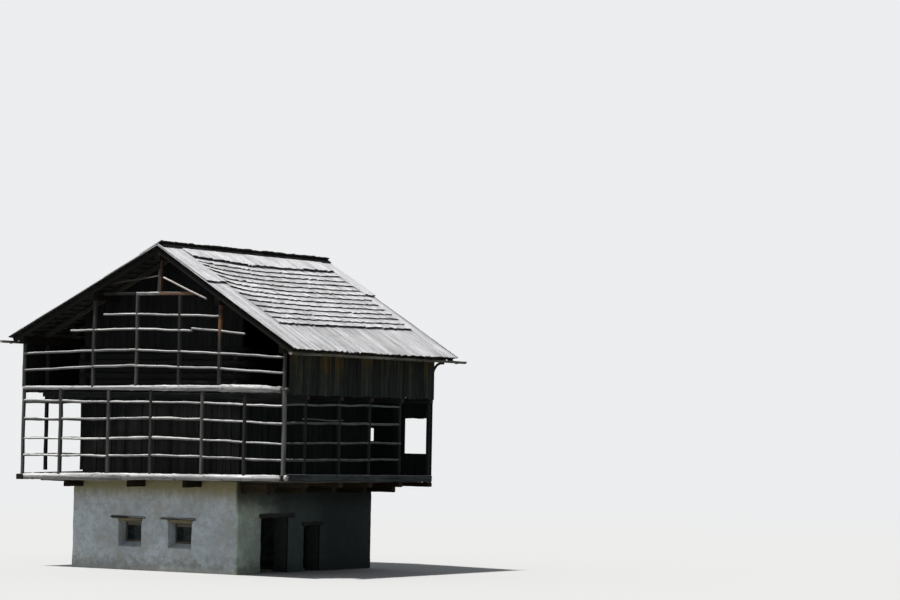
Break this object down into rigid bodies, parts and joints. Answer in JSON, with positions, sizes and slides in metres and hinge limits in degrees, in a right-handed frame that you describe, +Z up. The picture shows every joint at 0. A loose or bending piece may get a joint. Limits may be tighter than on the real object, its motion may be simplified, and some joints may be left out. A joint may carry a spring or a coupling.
{
  "type": "raised granary on a masonry stable",
  "caption": "Alpine raised granary: timber core with drying galleries on racks over a plastered masonry stable, under a wood-shingled gable roof.",
  "frame": {"origin": "centre of the masonry base's footprint, at its lowest foot", "axes": "+X to the right seen from the gable front with the racks, +Y to the back, +Z up"},
  "size_m": [10.1523, 8.82, 9.1236],
  "materials": {
    "masonry": "matt lime plaster",
    "stable_floor": "matt worn stone",
    "frame_timber": "matt dark weathered timber",
    "dark_boards": "matt sun-darkened boards",
    "weathered_log": "matt silver-grey log",
    "roof_wood": "matt silver-grey shingles and boards",
    "window_timber": "matt old paint",
    "glass": "gloss"
  },
  "bodies": {
    "root": {"base_front_wall": "masonry", "base_back_wall": "masonry", "base_left_wall": "masonry", "base_right_wall": "masonry", "base_floor": "stable_floor", "lintels": "frame_timber", "window_frames": "window_timber", "window_glass": "glass", "outriggers": "frame_timber", "front_cantilevers": "frame_timber", "front_sill": "weathered_log", "side_sills": "frame_timber", "lower_floors": "frame_timber", "lower_core_front": "dark_boards", "lower_core_back": "dark_boards", "lower_core_left": "dark_boards", "lower_core_right": "dark_boards", "front_lower_rack": "frame_timber", "left_lower_rack": "frame_timber", "right_lower_rack": "frame_timber", "cross_beams": "frame_timber", "ring_beams": "weathered_log", "upper_floor": "frame_timber", "upper_core_front": "dark_boards", "upper_core_back": "dark_boards", "upper_core_left": "dark_boards", "upper_core_right": "dark_boards", "gables": "dark_boards", "side_posts": "frame_timber", "left_boarding": "dark_boards", "right_boarding": "dark_boards", "front_upper_rack": "frame_timber", "gable_truss": "frame_timber", "back_lower_boards": "dark_boards", "back_upper_boards": "dark_boards", "purlins": "frame_timber", "rafters": "frame_timber", "battens": "frame_timber", "shingles_left": "roof_wood", "shingles_right": "roof_wood", "verge_boards": "roof_wood", "ridge_boards": "roof_wood", "gutters": "frame_timber", "gutter_crooks": "frame_timber", "back_brace": "frame_timber"}
  },
  "joints": []
}
